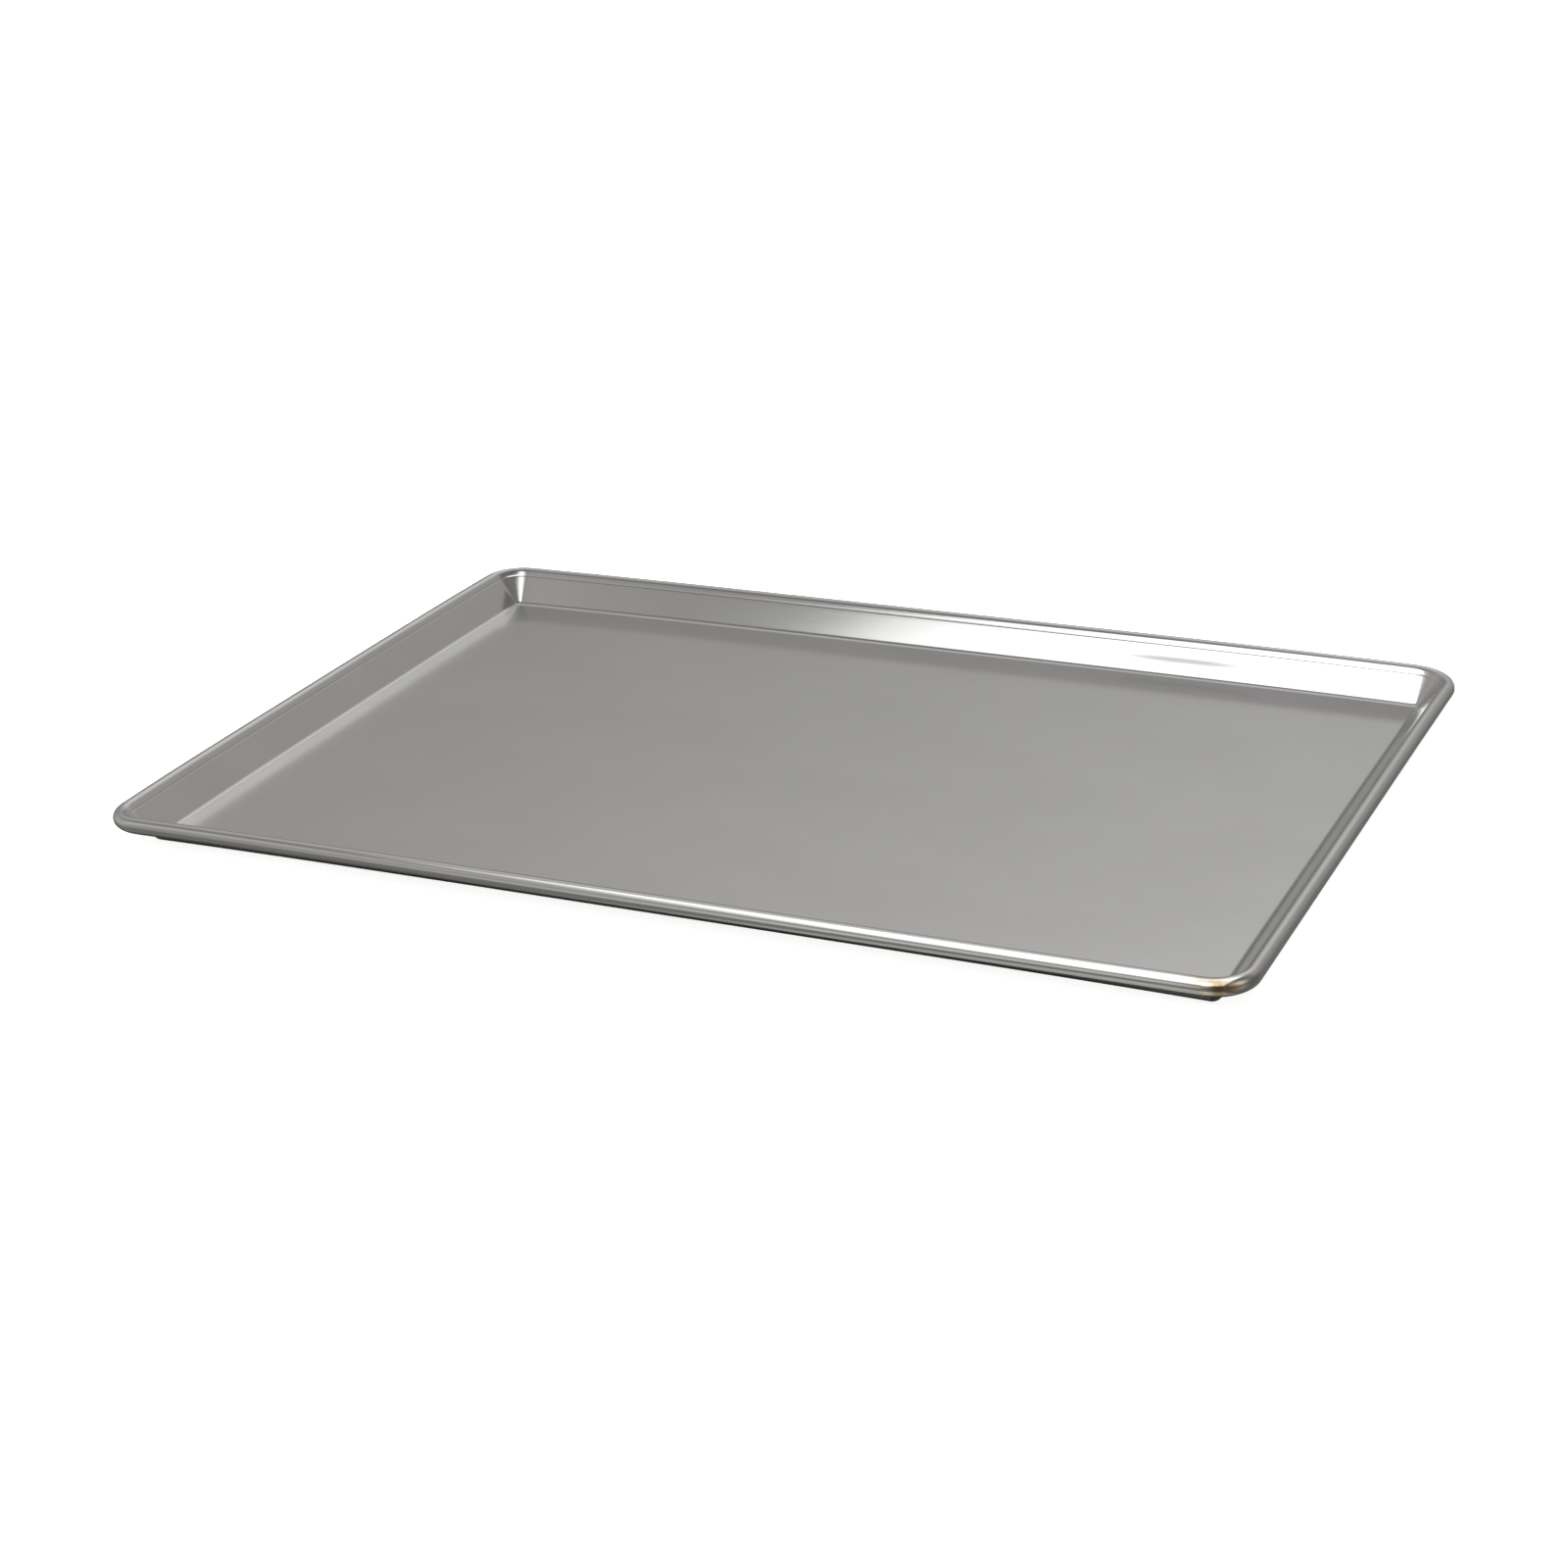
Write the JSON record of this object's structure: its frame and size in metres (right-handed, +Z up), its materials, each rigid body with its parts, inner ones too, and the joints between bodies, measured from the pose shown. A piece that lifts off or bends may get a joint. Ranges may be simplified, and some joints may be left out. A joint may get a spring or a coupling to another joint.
{
  "type": "sheet pan",
  "caption": "Shallow rectangular aluminium baking tray with leaning walls, rounded corners and an edge rolled round a steel wire.",
  "frame": {"origin": "under the middle of the floor, on the face that the pan stands on", "axes": "+X along the long side, +Y along the short side towards the side that holds the wire's joint, +Z up out of the tray"},
  "size_m": [0.6604, 0.4572, 0.0222],
  "materials": {
    "satin_aluminium": "bare rolled aluminium, satin, with fine rolling grain and faint rub marks",
    "galvanised_wire": "galvanised steel wire, dull"
  },
  "bodies": {
    "root": {"pan_body": "satin_aluminium", "rim_wire": "galvanised_wire"}
  },
  "joints": []
}
